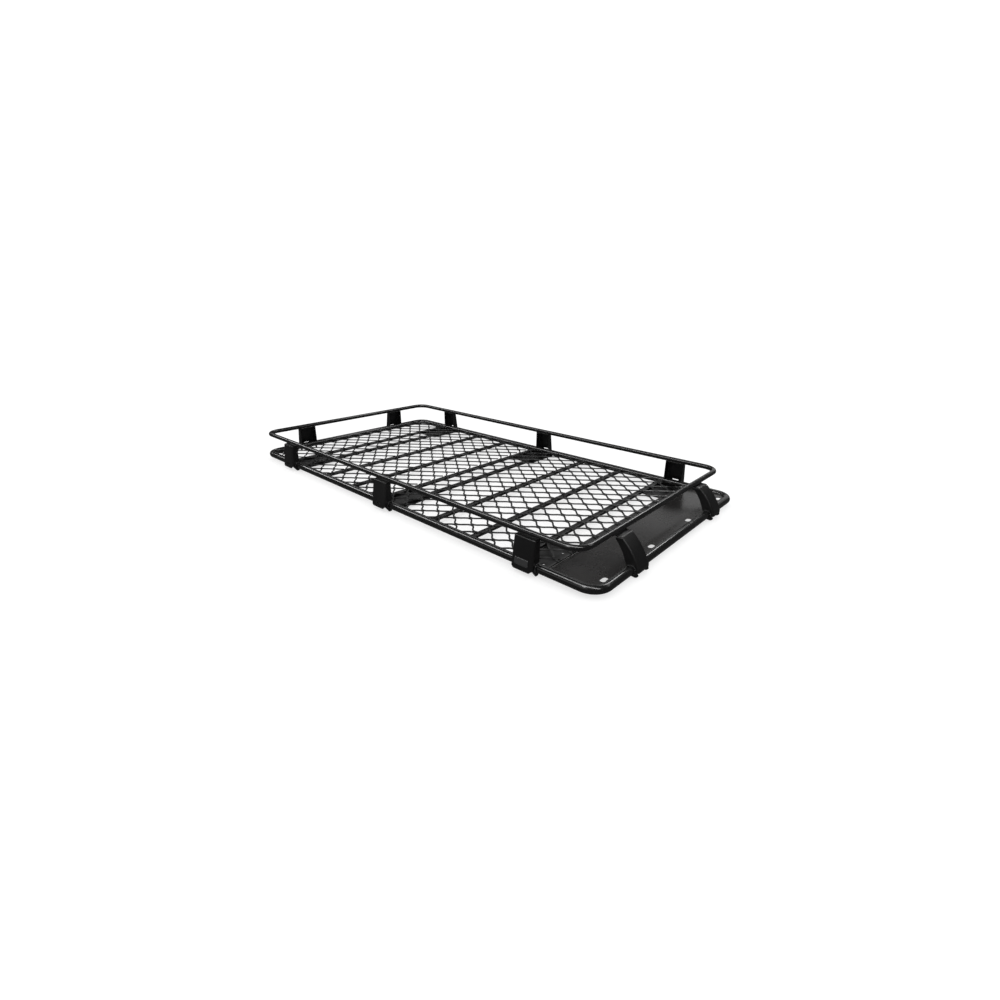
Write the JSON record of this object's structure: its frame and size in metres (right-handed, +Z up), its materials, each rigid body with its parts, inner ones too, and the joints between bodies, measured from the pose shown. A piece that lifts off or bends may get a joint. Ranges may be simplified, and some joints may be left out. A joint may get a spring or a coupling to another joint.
{
  "type": "roof rack",
  "caption": "Steel roof rack with a low tubular guard rail, folded sheet stanchions, diamond mesh floor on crossbars and a sheet deflector at the front.",
  "frame": {"origin": "middle of the footprint, at the lowest point of the stanchion feet", "axes": "+X forward to the deflector, +Y left, +Z up"},
  "size_m": [2.2328, 1.1792, 0.1535],
  "materials": {
    "rails": "semi-gloss black powder coat",
    "stanchions": "satin black powder coat",
    "crossbars": "satin black powder coat",
    "plates": "satin black powder coat",
    "mesh": "satin black powder coat",
    "deflector": "gloss dark grey powder coat"
  },
  "bodies": {
    "root": {"lower_rail_left": "rails", "lower_rail_right": "rails", "lower_rail_front": "rails", "lower_rail_rear": "rails", "lower_rail_corners": "rails", "upper_rail_left": "rails", "upper_rail_right": "rails", "upper_rail_front": "rails", "upper_rail_rear": "rails", "upper_rail_corners": "rails", "stanchion_left_rear": "stanchions", "stanchion_left_mid": "stanchions", "stanchion_left_front": "stanchions", "stanchion_right_rear": "stanchions", "stanchion_right_mid": "stanchions", "stanchion_right_front": "stanchions", "stanchion_rear_left": "stanchions", "stanchion_rear_right": "stanchions", "stanchion_front_left": "stanchions", "stanchion_front_right": "stanchions", "crossbar_1": "crossbars", "crossbar_2": "crossbars", "crossbar_3": "crossbars", "crossbar_4": "crossbars", "crossbar_5": "crossbars", "crossbar_6": "crossbars", "crossbar_7": "crossbars", "crossbar_8": "crossbars", "crossbar_9": "crossbars", "crossbar_10": "crossbars", "mount_plate_left_rear": "plates", "mount_plate_left_mid": "plates", "mount_plate_left_front": "plates", "mount_plate_right_rear": "plates", "mount_plate_right_mid": "plates", "mount_plate_right_front": "plates", "mesh_floor_rear": "mesh", "mesh_floor_mid_rear": "mesh", "mesh_floor_mid_front": "mesh", "mesh_floor_front": "mesh", "wind_deflector": "deflector"}
  },
  "joints": []
}
